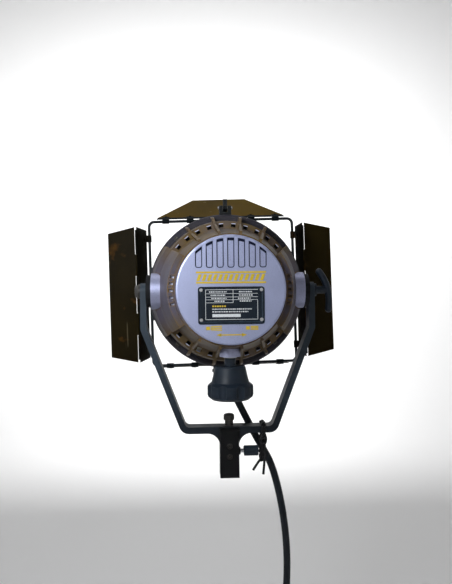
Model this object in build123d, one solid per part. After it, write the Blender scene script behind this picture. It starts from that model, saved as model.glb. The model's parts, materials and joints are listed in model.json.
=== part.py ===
from build123d import *
import math
import os

# Six-inch fresnel spotlight in its yoke, with a barndoor set. Millimetres.
# Row frame: origin at the mouth of the stand socket, +Z up its bore, +Y along the light beam.
# The head's own pieces are drawn about the beam axis and then lifted to the tilt axis.

# Yoke and stand socket
PIVOT_Z = 272.0
ARM_OUT, ARM_THICK, YOKE_HALF_DEPTH = 128.0, 9.0, 12.0
BEND_Z, BAR_LOW, BAR_HIGH = 216.0, 63.5, 73.2
LEG_LEAN = 21.2
STEM_HALF, STEM_HALF_DEPTH, STEM_TOP = 14.0, 17.0, 70.0
SOCKET_R, BUSH_R, SOCKET_DEPTH = 8.1, 11.0, 58.0
CLAMP_Z, CLAMP_R = 35.0, 3.0
SET_SCREW_HEIGHTS = (46, 31)

# Tilt pivot
PIVOT_R, PIVOT_BORE = 6.0, 6.06
BOSS_R, BOSS_FACE, BOSS_BACK = 26.5, 111.9, 97.0
DISC_PACK_R, ARM_IN = 24.0, ARM_OUT - ARM_THICK

# Housing, as stations along the beam and radii
DISC_BACK, DISC_SEAT, DISC_R, DISC_WALL = -100.0, -90.0, 72.8, 2.6
RING_BACK, RING_FRONT, RING_R, RING_BORE = 46.0, 62.0, 120.5, 104.0
CAP_OUTER = [(-90.0, 75.5), (-15.0, 91.0), (-3.0, 103.0), (46.0, 110.0)]
CAP_LIP_R = 68.4
CAP_INNER = [(46.0, 107.0), (-1.8, 100.0), (-13.8, 88.0), (-87.0, 72.9), (-87.0, CAP_LIP_R),
             (-90.0, CAP_LIP_R)]
FIN_ANGLES = (10.7, 32.0)
SLOT_PITCH, SLOT_WIDE = 10.7, 6.7
CHEEK_HALF = 36.5
FLUTE_PITCH, FLUTE_WIDE, FLUTE_DEPTH, FLUTE_LIMIT = 14.1, 9.4, 1.5, 68.6
RIVET_X, RIVET_HEIGHTS, RIVET_R = 39.5, (0, -39.2), 1.4
RING_SCREW_ANGLES, RING_SCREW_AT, RING_SCREW_R = (43, 137, 223, 317), 112.6, 1.8
BARREL_BACK, BARREL_FRONT, BARREL_R = 62.4, 118.0, 112.0

# Focus drive
KNOB_Y, SHAFT_R = -52.0, 4.0
LOBES, SCALLOP_R, SCALLOP_AT = 8, 9.5, 38.6
PINION_TEETH, GEAR_MODULE, TOOTH_FILL = 16, 1.0, 0.85
ADDENDUM, DEDENDUM, PRESSURE = 0.9, 1.25, 20.0
RACK_LOW, RACK_HIGH = -66.0, -60.0
RAIL_X, RAIL_Z, RAIL_R = 38.0, -50.0, 3.0
LAMP_Y = 5.0
MIRROR_R, MIRROR_WALL = 49.2, 1.2

# Lens, front and accessory ring
LENS_R, LENS_BACK, LENS_RIM = 76.2, 104.0, 107.0
EAR_RING_R, EAR_RING_BACK, EAR_RING_FRONT = 99.4, 128.0, 131.0
HINGE_Y, HINGE_Z, HINGE_PIN_R = 62.2, -126.0, 2.5
LATCH, LATCH_PIN_R = (56, 131.2), 2.0
EAR_ANGLES = (45, 135, 225, 315)
EAR_INNER, EAR_TIP = 92.0, 133.6

# Barndoor set
FRAME_Y, FRAME_HALF, FRAME_ROD_R, FRAME_CORNER = 165.0, 126.5, 2.5, 9.0
BARNDOOR_ROLL = -1.3
CLIP_BORE, CLIP_R, CLIP_WIDE = 2.6, 3.8, 12.0
STRAP_HALF, STRAP_END = 46.5, 127.5
LONG_CLIPS, SIDE_CLIPS = (-97, -54, 54, 97), (-97, 97)
SHEET = 1.0
LONG_LEAF, LONG_BASE, LONG_TIP = 85.0, 113.0, 49.0
SIDE_LEAF, SIDE_BASE, SIDE_EDGE = 68.0, 112.0, 127.0
FLAP, FLAP_EDGE = 52.0, 115.0
TOP_OPEN, BOTTOM_OPEN, SIDE_OPEN = 32.0, 3.0, 22.0
SIDE_LIFT = 4.4
FLAP_PIN_R, FLAP_ROLL_R = 1.0, 2.1
FLAP_AXIS_LIFT = SIDE_LIFT + SHEET / 2
LEAF_ROLLS = ((-112, -76), (-34, 34), (76, 112))
FLAP_ROLLS = ((-75.4, -34.6), (34.6, 75.4))

# Power cable
CABLE_R = 5.4
GLAND = (7.5, 25.0)
GLAND_TIP = -142.0
TAIL = 25.0
COIL_CENTRE, COIL_R, COIL_BUNDLE = (28.0, 33.0, -539.5), 58.0, 16.5
UPPER_ROUTE = [(7.5, 25, -142.8), (10.5, 25.5, -158.5), (18.6, 24.4, -175.6), (29.5, 23, -197.5),
               (40, 21.4, -218), (51.3, 20, -237.9)]
LOWER_ROUTE = [(51.3, 20, -237.9), (62.8, 19, -258.4), (72.5, 20.5, -290), (80.5, 22.5, -328),
               (86, 25, -368), (88.5, 28, -410), (87.8, 31, -454), (86, 33, -497)]

# Tie wire round the bar and the cable: its plane across X, and its corners as (y, z)
TIE_X, TIE_WIRE_R, TIE_BEND = 50.0, 1.3, 2.4
TIE_LOOP = [(-14.4, -196.6), (14.4, -196.6), (28.5, -226), (28.5, -243), (20, -252.5), (12, -243),
            (11, -226), (-14.4, -210.8)]

AXIS_TURN = {"X": Rot(0, 90, 0), "Y": Rot(90, 0, 0), "Z": Rot(0, 0, 0)}


def rod(axis, radius, start, end, at=(0.0, 0.0)):
    """Cylinder along X, Y or Z between two stations; at holds its other two coordinates in order."""
    middle = (start + end) / 2
    places = {"X": (middle, *at), "Y": (at[0], middle, at[1]), "Z": (*at, middle)}
    return Pos(*places[axis]) * AXIS_TURN[axis] * Cylinder(radius, abs(end - start))


def tube(axis, outer, inner, start, end, at=(0.0, 0.0)):
    return rod(axis, outer, start, end, at) - rod(axis, inner, start, end, at)


def block(x, y, z):
    """Box between a pair of limits on each axis."""
    centre = [(low + high) / 2 for low, high in (x, y, z)]
    return Pos(*centre) * Box(x[1] - x[0], y[1] - y[0], z[1] - z[0])


def turned(points, arc=360.0):
    """Solid turned about the beam axis from (station, radius) points."""
    return revolve(Plane.YZ * make_face(Polyline(*points, close=True)), Axis.Y, arc)


def spun(points, at=(0.0, 0.0)):
    """Solid turned about an upright axis from (radius, height) points."""
    return Pos(*at, 0) * revolve(Plane.XZ * make_face(Polyline(*points, close=True)), Axis.Z)


def plate_yz(points, half_width, x=0.0):
    """Plate across X from (station, height) points."""
    face = Plane.YZ * make_face(Polyline(*points, close=True))
    return Pos(x, 0, 0) * extrude(face, half_width, both=True)


def around(angle, shape):
    """Turns a shape about the beam axis, clockwise from the top as seen from behind the lamp."""
    return Rot(0, angle, 0) * shape


def rounded(face, corners):
    """Rounds the corners of a flat face, each given as (x, y, radius)."""
    for x, y, radius in corners:
        face = fillet(face.vertices().sort_by_distance((x, y, 0))[0], radius)
    return face


# ---------------------------------------------------------------- yoke

def yoke():
    """Cast yoke: two arms, leaning legs, a bar with filleted gussets and the upright stem with its bore."""
    lean = math.tan(math.radians(LEG_LEAN))
    half_lean = math.tan(math.radians(LEG_LEAN / 2))
    inner_bend = BEND_Z + ARM_THICK * half_lean
    foot_out = ARM_OUT - (BEND_Z - BAR_LOW) * lean
    foot_in = ARM_IN - (inner_bend - BAR_HIGH) * lean
    right = [(STEM_HALF, 20), (STEM_HALF, BAR_LOW), (foot_out, BAR_LOW), (ARM_OUT, BEND_Z),
             (ARM_OUT, PIVOT_Z), (ARM_IN, PIVOT_Z), (ARM_IN, inner_bend), (foot_in, BAR_HIGH)]
    left = [(-x, z) for x, z in reversed(right)]
    corners = []
    for side in (-1, 1):
        corners += [(side * STEM_HALF, BAR_LOW, 18), (side * foot_out, BAR_LOW, 15),
                    (side * ARM_OUT, BEND_Z, 14), (side * ARM_IN, inner_bend, 10),
                    (side * foot_in, BAR_HIGH, 8)]
    outline = rounded(make_face(Polyline(*right, *left, close=True)), corners)
    body = extrude(Plane.XZ * outline, YOKE_HALF_DEPTH, both=True)
    for side in (-1, 1):
        body += rod("X", YOKE_HALF_DEPTH, side * ARM_IN, side * ARM_OUT, (0, PIVOT_Z))
        body -= rod("X", PIVOT_BORE, side * (ARM_IN - 1), side * (ARM_OUT + 1), (0, PIVOT_Z))
    stem = block((-STEM_HALF, STEM_HALF), (-STEM_HALF_DEPTH, STEM_HALF_DEPTH), (0, STEM_TOP))
    stem = fillet(stem.edges().filter_by(Axis.Z), 1.5)
    body += stem
    body += rod("X", 5.75, STEM_HALF - 1, 16.5, (0, CLAMP_Z))
    body -= rod("Z", BUSH_R, -1, SOCKET_DEPTH)
    body -= rod("Z", 6.0, SOCKET_DEPTH - 1, BAR_HIGH + 1)
    body -= rod("X", CLAMP_R + 0.06, 10, 17, (0, CLAMP_Z))
    for height in SET_SCREW_HEIGHTS:
        body -= rod("Y", 4.3, -18, -10, (0, height))
    return body


def socket_bush():
    """Steel liner of the stand socket, open at the side for the clamp pad."""
    liner = tube("Z", BUSH_R, SOCKET_R, 0, SOCKET_DEPTH)
    return liner - rod("X", 3.4, 5, 12, (0, CLAMP_Z))


def socket_set_screws():
    """Two socket screws sunk in the back of the stem, with their tips on the liner."""
    screws = []
    for height in SET_SCREW_HEIGHTS:
        screw = rod("Y", 4.2, -15.2, -10.4, (0, height)) - rod("Z", BUSH_R, 0, SOCKET_DEPTH)
        hexagon = extrude(Plane((0, -15.2, height), z_dir=(0, -1, 0)) * RegularPolygon(2.3, 6), -3)
        screws.append(screw - hexagon)
    return Compound(children=screws)


def spigot_stop_screw():
    """Shouldered screw through the bar that ends the socket; its domed head stands above the bar."""
    profile = [(0, SOCKET_DEPTH), (6.0, SOCKET_DEPTH), (6.0, BAR_HIGH), (6.25, BAR_HIGH), (6.25, 81.5),
               (8, 81.5), (8, 88), (6.8, 89.6), (4.2, 90.6), (0, 91)]
    return spun(profile)


def pivot_bolt():
    """Left tilt pivot: a shoulder bolt through the arm and the friction disc into the head's boss."""
    bolt = rod("X", PIVOT_R, -ARM_OUT, -99, (0, PIVOT_Z))
    bolt += rod("X", 10.5, -ARM_OUT - 3, -ARM_OUT, (0, PIVOT_Z))
    head = Plane((-ARM_OUT - 3, 0, PIVOT_Z), z_dir=(-1, 0, 0)) * RegularPolygon(9, 6)
    return bolt + extrude(head, 5)


def friction_disc(side):
    """Fibre disc between an arm and the head's boss."""
    return tube("X", DISC_PACK_R, PIVOT_BORE, side * (BOSS_FACE + 0.1), side * ARM_IN, (0, PIVOT_Z))


def cable_tie():
    """Loop of twisted tie wire round the bar and the cable."""
    path = FilletPolyline(*[(TIE_X, y, PIVOT_Z + z) for y, z in TIE_LOOP], radius=TIE_BEND, close=True)
    return sweep(Plane(path @ 0, z_dir=path % 0) * Circle(TIE_WIRE_R), path=path)


# ---------------------------------------------------------------- tilt handle and stand clamp

def tilt_handle():
    """Clamping handle: a threaded stud, a hub outside the right arm and a swept-back cross grip."""
    stud = rod("X", PIVOT_R, 99, ARM_OUT + 0.2, (0, PIVOT_Z))
    hub = rod("X", 9.5, ARM_OUT + 0.2, 132, (0, PIVOT_Z)) + rod("X", 5.6, 132, 148, (0, PIVOT_Z))
    arc = ThreePointArc((137, 0, PIVOT_Z + 27), (149.6, 0, PIVOT_Z), (150.4, 0, PIVOT_Z - 29))
    grip = sweep(Plane(arc @ 0, z_dir=arc % 0) * Circle(5.0), path=arc)
    for end in (arc @ 0, arc @ 1):
        grip += Pos(*end) * Sphere(5.0)
    return stud + hub + grip


def clamp_pad():
    """Brass pad at the tip of the stand clamp screw."""
    return rod("X", 3.0, 8.5, 11.4, (0, CLAMP_Z))


def clamp_screw():
    return rod("X", CLAMP_R, 11.5, 24, (0, CLAMP_Z))


def clamp_knob():
    """Knurled knob on the stand clamp screw."""
    knob = rod("X", 7.6, 21.5, 43, (0, CLAMP_Z))
    knob = chamfer(knob.edges().filter_by(GeomType.CIRCLE), 0.9)
    for step in range(18):
        angle = math.radians(step * 20)
        knob -= rod("X", 0.8, 23.5, 41, (7.9 * math.cos(angle), CLAMP_Z + 7.9 * math.sin(angle)))
    return knob - rod("X", CLAMP_R, 21, 24, (0, CLAMP_Z))


# ---------------------------------------------------------------- housing

def rear_cap():
    """Cast rear housing: a flared shell with a slotted shoulder, radial fins, side cheeks and openings."""
    shell = turned(CAP_OUTER + CAP_INNER)
    fin = [(-86, 75.2), (-86, 80), (-14, 99), (0, 109.5), (45, 117.5), (45, 109), (-2.5, 102.2),
           (-14.5, 90.2)]
    cheek = [(-84, 75.6), (-84, 84.5), (-14, 101), (0, 110), (45, 118), (45, 109), (-2.5, 102),
             (-14.5, 90.2)]
    for half_turn in (0, 180):
        for angle in FIN_ANGLES:
            for side in (-1, 1):
                shell += around(half_turn + side * angle, plate_yz(fin, 1.75))
        shell += around(90 - CHEEK_HALF + half_turn, turned(cheek, 2 * CHEEK_HALF))
    slot = block((-SLOT_WIDE / 2, SLOT_WIDE / 2), (-26, 8), (92.8, 99.6))
    for half_turn, first in ((0, 0), (180, 1)):
        for step in range(first, 5):
            for side in (-1, 1):
                shell -= around(half_turn + side * SLOT_PITCH * (step + 0.5), slot)
    vent = block((-1.7, 1.7), (-85, -79), (77, 82.6))
    for side in (90, 270):
        for step in range(-2, 3):
            shell -= around(side + 6.6 * step, vent)
    for side in (-1, 1):
        shell -= rod("X", BOSS_R, side * 80, side * 130)
    shell -= rod("Z", 14.5, -120, -60, (0, KNOB_Y))
    return shell - rod("Z", 8.0, -125, -80, GLAND)


def rear_disc():
    """Dished rear panel with seven upright flutes above the data plate."""
    pan = turned([(DISC_BACK, 0), (DISC_BACK, DISC_R - 2.4), (DISC_BACK + 0.7, DISC_R - 0.7),
                  (DISC_BACK + 2.4, DISC_R), (DISC_SEAT, DISC_R), (DISC_SEAT, 69.8),
                  (DISC_BACK + DISC_WALL, 69.8), (DISC_BACK + DISC_WALL, 0)])
    face = Plane((0, DISC_BACK, 0), x_dir=(1, 0, 0), z_dir=(0, -1, 0))
    for step in range(-3, 4):
        flute = Pos(FLUTE_PITCH * step, 54, 0) * RectangleRounded(FLUTE_WIDE, 50, 3.2)
        pan -= extrude(face * (flute & Circle(FLUTE_LIMIT)), -FLUTE_DEPTH)
    for side in (-1, 1):
        for height in RIVET_HEIGHTS:
            pan -= rod("Y", RIVET_R, DISC_BACK, DISC_BACK + 2, (RIVET_X * side, height))
    return pan


def data_plate():
    plate = block((-43.7, 43.7), (DISC_BACK - 1.1, DISC_BACK), (-45.1, 4.2))
    for side in (-1, 1):
        for height in RIVET_HEIGHTS:
            plate -= rod("Y", RIVET_R, DISC_BACK - 2, DISC_BACK, (RIVET_X * side, height))
    return plate


def data_plate_rivets():
    rivets = []
    for side in (-1, 1):
        for height in RIVET_HEIGHTS:
            at = (RIVET_X * side, height)
            head = rod("Y", 2.2, DISC_BACK - 1.9, DISC_BACK - 1.1, at)
            rivets.append(head + rod("Y", RIVET_R, DISC_BACK - 1.1, DISC_BACK + 2, at))
    return Compound(children=rivets)


def housing_ring():
    """Heavy ring that closes the rear housing and carries the latch and the front hinge."""
    ring = turned([(RING_BACK, RING_BORE), (RING_BACK, 115), (RING_BACK + 2, 118.6), (RING_BACK + 5, RING_R),
                   (RING_FRONT, RING_R), (RING_FRONT, RING_BORE)])
    for angle in RING_SCREW_ANGLES:
        ring -= around(angle, rod("Y", RING_SCREW_R, RING_BACK - 1, RING_BACK + 9, (0, RING_SCREW_AT)))
    return ring


def housing_screws():
    """Pan-head screws in the back of the ring."""
    screws = []
    for angle in RING_SCREW_ANGLES:
        head = rod("Y", 3.3, RING_BACK - 2.2, RING_BACK, (0, RING_SCREW_AT))
        slot_height = (RING_SCREW_AT - 0.4, RING_SCREW_AT + 0.4)
        head -= block((-2.4, 2.4), (RING_BACK - 3, RING_BACK - 1.3), slot_height)
        shank = rod("Y", RING_SCREW_R, RING_BACK, RING_BACK + 9, (0, RING_SCREW_AT))
        screws.append(around(angle, head + shank))
    trim = turned([(-20, 60), (-20, 88), (-3, 103.2), (46, 110.2), (46, 60)])
    return Compound(children=[screw - trim for screw in screws])


def tilt_boss(side):
    """Boss on the side of the housing that the tilt pivot runs in."""
    boss = rod("X", BOSS_R, side * BOSS_BACK, side * BOSS_FACE)
    return boss - rod("X", PIVOT_BORE, side * (BOSS_BACK - 1), side * (BOSS_FACE + 1))


def focus_boss():
    return tube("Z", 14.5, SHAFT_R + 0.06, -92, -77, (0, KNOB_Y))


def focus_washer():
    return tube("Z", 9.0, SHAFT_R + 0.06, -93.6, -92, (0, KNOB_Y))


def cable_gland():
    """Gland body with a hexagonal nut under the housing."""
    gland = rod("Z", 8.0, -111, -100, GLAND)
    nut = extrude(Plane((*GLAND, -117)) * RegularPolygon(10, 6), 6)
    return gland + nut - rod("Z", CABLE_R, -120, -99, GLAND)


def strain_relief():
    """Tapered rubber sleeve on the cable below the gland."""
    tip_r = CABLE_R + 0.9
    profile = [(CABLE_R, -117), (8.4, -117), (8.4, -121), (7.6, -123), (tip_r, GLAND_TIP),
               (CABLE_R, GLAND_TIP)]
    return spun(profile, GLAND)


def guide_rods():
    return Compound(children=[rod("Y", RAIL_R, -87, 50, (side * RAIL_X, RAIL_Z)) for side in (-1, 1)])


def rear_rail_bracket():
    bar = block((-44, 44), (-87, -83), (-55, -45))
    for side in (-1, 1):
        bar -= rod("Y", RAIL_R, -88, -82, (side * RAIL_X, RAIL_Z))
    return bar


def front_rail_bracket():
    """Cross bar in the ring that holds the front ends of the guide rods."""
    bar = block((-100, 100), (47, 50), (-56, -44)) & rod("Y", RING_BORE, 40, 60)
    for side in (-1, 1):
        bar -= rod("Y", RAIL_R, 46, 51, (side * RAIL_X, RAIL_Z))
    return bar


def terminal_block():
    """Ceramic terminal block on the housing wall beside the gland."""
    base = block((-52, -30), (16, 44), (-88, -74)) - rod("X", 2.2, -53, -29, (30, -74))
    foot = block((-50, -32), (24, 36), (-106, -88)) & rod("Y", 103.5, 0, 60)
    return base + foot


def latch_block():
    """Forked block on top of the ring that the latch lever pivots in."""
    fork = block((-9.5, 9.5), (50, 62), (114, 134.4)) - rod("Y", RING_R, 40, 70)
    fork -= block((-3.7, 3.7), (49, 63), (124, 135))
    return fork - rod("X", LATCH_PIN_R, -10, 10, LATCH)


def latch_pin():
    return rod("X", LATCH_PIN_R, -11.4, 11.4, LATCH)


def latch_lever():
    """Front latch: a thumb stem above the pin and a hooked foot over the front housing's catch."""
    foot = [(56, 127), (56, 133), (69, 130), (71.5, 127), (71.5, 119.6), (67, 119.6), (67, 125.5)]
    lever = rod("X", 4.4, -3.2, 3.2, LATCH) + block((-3.2, 3.2), (53.4, 58.6), (131, 145))
    lever += plate_yz(foot, 3.2)
    return lever - rod("X", LATCH_PIN_R + 0.06, -4, 4, LATCH)


def door_hinge_bracket():
    """Two lugs under the ring for the front housing's hinge pin."""
    lugs = []
    for side in (-1, 1):
        lug = block((side * 16 - 5, side * 16 + 5), (51, 61.9), (-129, -112)) + rod(
            "X", 5, side * 16 - 5, side * 16 + 5, (HINGE_Y, HINGE_Z))
        lugs.append(lug - rod("Y", RING_R, 40, 70) - rod("X", HINGE_PIN_R, -30, 30, (HINGE_Y, HINGE_Z)))
    return Compound(children=lugs)


def door_hinge_pin():
    return rod("X", HINGE_PIN_R, -23, 23, (HINGE_Y, HINGE_Z))


# ---------------------------------------------------------------- focus drive and lamp carriage

def involute_point(base, roll):
    return base * math.hypot(1, roll), roll - math.atan(roll)


def pinion_outline():
    """Involute outline of the pinion, with one tooth on the +X axis."""
    pitch_r = GEAR_MODULE * PINION_TEETH / 2
    base = pitch_r * math.cos(math.radians(PRESSURE))
    tip, root = pitch_r + ADDENDUM, pitch_r - DEDENDUM
    pitch_roll = math.tan(math.radians(PRESSURE))
    tip_roll = math.sqrt((tip / base) ** 2 - 1)
    half_angle = math.pi / 2 * TOOTH_FILL / PINION_TEETH
    offset = half_angle + involute_point(base, pitch_roll)[1]
    flank = [involute_point(base, tip_roll * step / 5) for step in range(6)]
    points = []
    for tooth in range(PINION_TEETH):
        centre = 2 * math.pi * tooth / PINION_TEETH
        lower = [(root, centre - offset)] + [(r, centre - offset + turn) for r, turn in flank]
        upper = [(r, 2 * centre - angle) for r, angle in reversed(lower)]
        points += [(r * math.cos(angle), r * math.sin(angle)) for r, angle in lower + upper]
    return points


def focus_pinion_shaft():
    """Upright focus shaft with its pinion inside the housing."""
    pinion = extrude(Plane((0, KNOB_Y, RACK_LOW - 1)) * make_face(Polyline(*pinion_outline(), close=True)), 8)
    return pinion + rod("Z", SHAFT_R, -116, -57, (0, KNOB_Y))


def focus_knob():
    """Bell-shaped knob: a neck, a flared skirt and an eight-lobed grip."""
    profile = [(SHAFT_R, -93.8), (7.8, -93.8), (7.8, -104.6), (20.4, -105.2), (21.6, -107), (24.4, -120),
               (26.2, -127), (31.6, -131.5), (32, -134), (32, -144), (31, -147), (26, -151), (0, -152.5),
               (0, -116), (SHAFT_R, -116)]
    knob = spun(profile, (0, KNOB_Y))
    for step in range(LOBES):
        angle = 2 * math.pi * (step + 0.5) / LOBES
        at = (SCALLOP_AT * math.cos(angle), KNOB_Y + SCALLOP_AT * math.sin(angle))
        knob -= rod("Z", SCALLOP_R, -153, -128.5, at)
    return knob


def carriage():
    """Lamp carriage: a base plate, slide blocks on the rods and the upright that holds the reflector."""
    base = block((-45, 45), (-48, 20), (-46, -43))
    for side in (-1, 1):
        for y in (-40, 6):
            base += block((side * RAIL_X - 6, side * RAIL_X + 6), (y, y + 14), (-56, -44))
        base -= rod("Y", RAIL_R + 0.05, -49, 21, (side * RAIL_X, RAIL_Z))
    upright = block((-9, 9), (-48, -39), (-44, 9)) - Pos(0, LAMP_Y, 0) * Sphere(MIRROR_R)
    return base + upright


def carriage_rack():
    """Toothed rack under the carriage, with teeth towards the pinion and a riser to the plate."""
    pitch_x = GEAR_MODULE * PINION_TEETH / 2
    pitch = math.pi * GEAR_MODULE
    slope = math.tan(math.radians(PRESSURE))
    half = pitch * TOOTH_FILL / 4
    bar = block((pitch_x + DEDENDUM, 14), (KNOB_Y - 24, -14), (RACK_LOW, RACK_HIGH))
    bar += block((9.6, 20), (-27, -14), (RACK_LOW, -46))
    for tooth in range(-7, 7):
        y = KNOB_Y + (tooth + 0.5) * pitch
        root_x, tip_x = pitch_x + DEDENDUM + 0.3, pitch_x - ADDENDUM
        root_half, tip_half = half + DEDENDUM * slope, half - ADDENDUM * slope
        outline = [(root_x, y - root_half), (tip_x, y - tip_half), (tip_x, y + tip_half),
                   (root_x, y + root_half)]
        face = Plane((0, 0, RACK_LOW)) * make_face(Polyline(*outline, close=True))
        bar += extrude(face, RACK_HIGH - RACK_LOW)
    return bar


def lamp_socket():
    """Ceramic two-pin lampholder."""
    body = block((-17, 17), (LAMP_Y - 11, LAMP_Y + 11), (-43, -31))
    return body - block((-2, 2), (LAMP_Y - 12, LAMP_Y + 12), (-36, -31))


def lamp_base():
    body = block((-14, 14), (LAMP_Y - 7, LAMP_Y + 7), (-31, -16))
    return fillet(body.edges().filter_by(Axis.Z), 4)


def lamp_bulb():
    """Tubular quartz envelope with a domed top."""
    return rod("Z", 10.5, -16, 18, (0, LAMP_Y)) + Pos(0, LAMP_Y, 18) * Sphere(10.5)


def reflector():
    """Spherical mirror behind the lamp."""
    shell = Sphere(MIRROR_R) - Sphere(MIRROR_R - MIRROR_WALL)
    return Pos(0, LAMP_Y, 0) * (shell & block((-60, 60), (-60, -25), (-60, 60)))


# ---------------------------------------------------------------- hinged front housing

def front_barrel():
    """Front housing with its lens opening, hinge knuckle and latch catch."""
    bore = BARREL_R - 3
    barrel = turned([(BARREL_BACK, bore), (BARREL_BACK, BARREL_R), (BARREL_FRONT - 1.5, BARREL_R),
                     (BARREL_FRONT, BARREL_R - 1.5), (BARREL_FRONT, 73), (115, 73), (115, bore)])
    knuckle = block((-10.4, 10.4), (62.9, 76), (-130, -108)) + rod("X", 5, -10.4, 10.4, (HINGE_Y, HINGE_Z))
    catch = block((-9, 9), (63, 77), (108, 119))
    extras = (knuckle + catch) - rod("Y", BARREL_R - 1, 50, 130)
    return barrel + extras - rod("X", HINGE_PIN_R + 0.06, -30, 30, (HINGE_Y, HINGE_Z))


def lens_holder():
    return turned([(101, 72), (101, 82), (115, 82), (115, 76.6), (104, 76.6), (104, 72)])


def fresnel_lens():
    """Six-inch lens: a flat back and nine stepped rings on its face."""
    profile = [(LENS_BACK, 0), (LENS_BACK, LENS_R), (LENS_RIM, LENS_R), (LENS_RIM, 70)]
    zone_edges = [70, 65, 59.5, 53.5, 47, 40, 32.5, 24, 14.5, 0]
    for outer, inner in zip(zone_edges, zone_edges[1:]):
        crest = LENS_RIM + 0.6 + (outer ** 2 - inner ** 2) / 180
        profile += [(LENS_RIM + 0.6, outer - 0.05), (crest, inner)]
    return turned(profile)


def wire_guard():
    """Round wire guard in front of the lens."""
    guard = tube("Y", 77, 72, BARREL_FRONT, BARREL_FRONT + 2.4)
    for step in range(-3, 4):
        offset = 20.0 * step
        half = math.sqrt(74 ** 2 - offset ** 2)
        guard += rod("Z", 0.7, -half, half, (offset, BARREL_FRONT + 1.2))
        guard += rod("X", 0.7, -half, half, (BARREL_FRONT + 1.2, offset))
    return guard


def accessory_ears():
    """Four hooked ears on the front that hold the barndoor ring."""
    hook = [(BARREL_FRONT, EAR_INNER), (127.7, EAR_INNER), (127.7, 100.3), (131.4, 100.3), (131.4, EAR_INNER),
            (EAR_TIP, EAR_INNER), (EAR_TIP, 103.6), (BARREL_FRONT, 103.6)]
    return Compound(children=[around(angle, plate_yz(hook, 9)) for angle in EAR_ANGLES])


# ---------------------------------------------------------------- barndoor set

def barndoor_ring():
    return tube("Y", EAR_RING_R, 84, EAR_RING_BACK, EAR_RING_FRONT)


def barndoor_rods():
    """Square frame bent from one rod."""
    half = FRAME_HALF
    corners = [(0, FRAME_Y, half), (half, FRAME_Y, half), (half, FRAME_Y, -half), (-half, FRAME_Y, -half),
               (-half, FRAME_Y, half)]
    path = FilletPolyline(*corners, radius=[0] + [FRAME_CORNER] * 4, close=True)
    return sweep(Plane((0, FRAME_Y, half), z_dir=(1, 0, 0)) * Circle(FRAME_ROD_R), path=path)


def barndoor_brackets():
    """Four splayed straps from the ring to the rod frame, with feet that pass inside the ears."""
    strap = [(EAR_RING_FRONT, 85), (EAR_RING_FRONT, 91), (136, 91), (160.6, 121.4), (160.6, STRAP_END),
             (164.2, STRAP_END), (164.2, 121.6), (162.4, 120.6), (137, 89.2), (133, 89.2), (133, 85)]
    plate = plate_yz(strap, STRAP_HALF) - rod("X", FRAME_ROD_R, -60, 60, (FRAME_Y, FRAME_HALF))
    plate -= tube("Y", 140, EAR_INNER - 0.4, EAR_RING_FRONT, EAR_TIP + 0.8)
    return Compound(children=[around(90 * quarter, plate) for quarter in range(4)])


def clip(x, lift):
    """Clip that rolls round the frame rod, with its tongue and rivet on the leaf."""
    wide = CLIP_WIDE / 2
    roll = tube("X", CLIP_R, CLIP_BORE, x - wide, x + wide)
    tongue = block((x - wide, x + wide), (0, 15), (lift, lift + 1.2))
    web = block((x - wide, x + wide), (-1, 1), (CLIP_BORE + 0.4, lift + 1.2))
    return roll + tongue + web + rod("Z", 2.4, lift + 1, lift + 2.2, (x, 10.5))


def long_leaf():
    """Top or bottom leaf with its hinge line on the X axis and its sheet forward of it."""
    outline = [(-LONG_BASE, 2), (LONG_BASE, 2), (LONG_BASE - 2, 9), (LONG_TIP, LONG_LEAF),
               (-LONG_TIP, LONG_LEAF), (2 - LONG_BASE, 9)]
    leaf = extrude(Plane((0, 0, CLIP_BORE + 0.5)) * make_face(Polyline(*outline, close=True)), SHEET)
    for x in LONG_CLIPS:
        leaf += clip(x, CLIP_BORE + 1.4)
    return leaf


def side_leaf():
    """Side leaf with its hinge line on the X axis, and its outer hinge pin for the folding flap."""
    edge = SIDE_LEAF - 2.8
    grow = SIDE_BASE + (SIDE_EDGE - SIDE_BASE) * edge / SIDE_LEAF
    outline = [(-SIDE_BASE, 2), (SIDE_BASE, 2), (grow, edge), (-grow, edge)]
    leaf = extrude(Plane((0, 0, SIDE_LIFT)) * make_face(Polyline(*outline, close=True)), SHEET)
    for x in SIDE_CLIPS:
        leaf += clip(x, SIDE_LIFT + 0.9)
    at = (SIDE_LEAF, FLAP_AXIS_LIFT)
    for start, end in LEAF_ROLLS:
        leaf += rod("X", FLAP_ROLL_R, start, end, at)
        leaf += block((start, end), (edge - 1, SIDE_LEAF), (SIDE_LIFT, SIDE_LIFT + SHEET))
    return leaf + rod("X", FLAP_PIN_R, -112, 112, at)


def side_flap():
    """Folding flap, drawn flat with its hinge line on the X axis."""
    near = 2.8
    shrink = SIDE_EDGE - (SIDE_EDGE - FLAP_EDGE) * near / FLAP
    outline = [(-shrink, near), (shrink, near), (FLAP_EDGE, FLAP), (-FLAP_EDGE, FLAP)]
    flap = extrude(Plane((0, 0, -SHEET / 2)) * make_face(Polyline(*outline, close=True)), SHEET)
    for start, end in FLAP_ROLLS:
        flap += rod("X", FLAP_ROLL_R, start, end)
        flap += block((start, end), (0, near + 1), (-SHEET / 2, SHEET / 2))
    return flap - rod("X", FLAP_PIN_R + 0.07, -120, 120)


def on_frame(quarter, opened, shape):
    """Places a leaf on one side of the rod frame, opened outward from straight ahead by an angle."""
    return around(90 * quarter, Pos(0, FRAME_Y, FRAME_HALF) * Rot(opened, 0, 0) * shape)


def flap_on_leaf(quarter):
    """Flap at the outer edge of a side leaf, turned square across the beam."""
    placed = Pos(0, SIDE_LEAF, FLAP_AXIS_LIFT) * Rot(90 - SIDE_OPEN, 0, 0) * side_flap()
    return on_frame(quarter, SIDE_OPEN, placed)


# ---------------------------------------------------------------- power cable

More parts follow.
